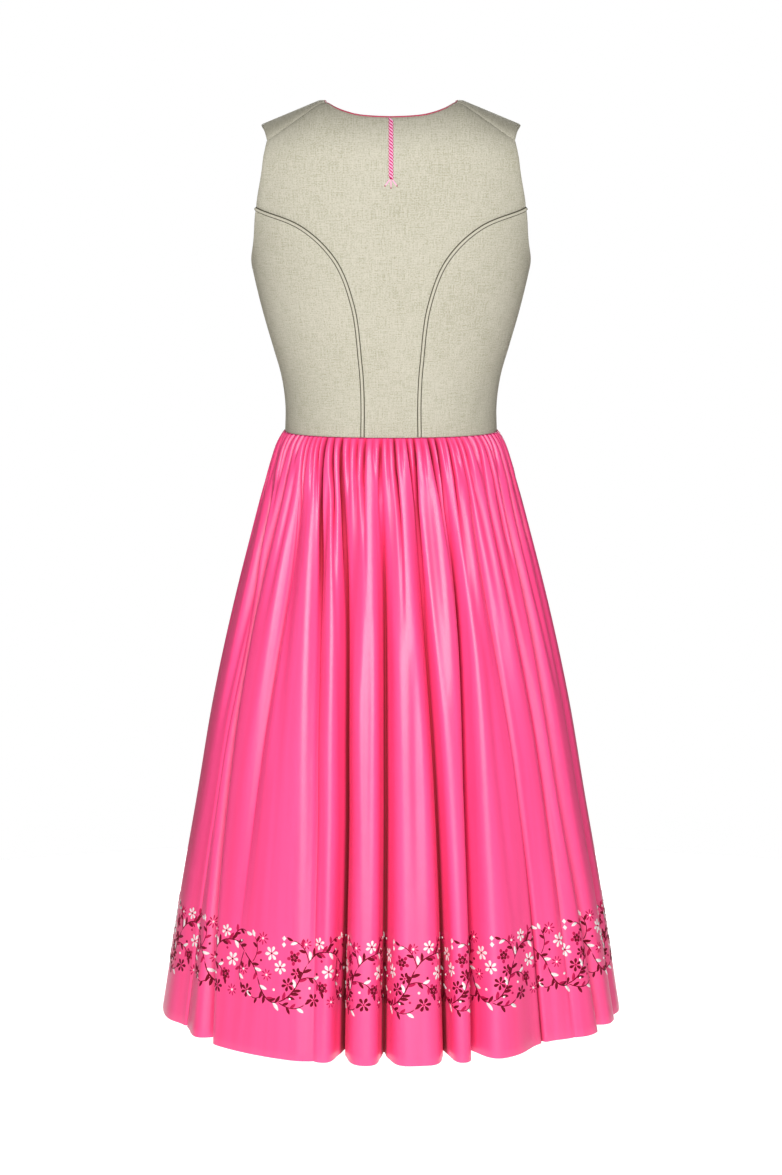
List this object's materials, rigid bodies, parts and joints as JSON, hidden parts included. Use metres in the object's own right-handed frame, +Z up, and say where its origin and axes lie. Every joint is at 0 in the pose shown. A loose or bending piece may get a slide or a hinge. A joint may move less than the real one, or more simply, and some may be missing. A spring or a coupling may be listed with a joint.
{
  "type": "dirndl dress",
  "caption": "Sleeveless dirndl, filled out as if worn: fitted linen bodice with piped back seams, buttoned front, and a full gathered satin skirt.",
  "frame": {"origin": "middle of the shoulder line, where the wearer carries the dress", "axes": "+Z up, front towards -Y, back towards +Y, wearer's left towards +X"},
  "size_m": [0.5746, 0.4782, 1.1213],
  "materials": {
    "linen": "matte melange linen, sage beige",
    "satin": "soft satin sheen, hot pink",
    "piping": "matte, rose red",
    "pewter": "dull pewter"
  },
  "bodies": {
    "root": {"back_centre": "linen", "back_side_left": "linen", "back_side_right": "linen", "front_centre_left": "linen", "front_centre_right": "linen", "front_side_left": "linen", "front_side_right": "linen", "piping_back_left": "linen", "piping_back_right": "linen", "neck_piping": "piping", "skirt_back": "satin", "skirt_front": "satin", "button_1": "pewter", "button_2": "pewter", "button_3": "pewter", "button_4": "pewter", "button_5": "pewter", "button_6": "pewter", "button_7": "pewter"}
  },
  "joints": []
}
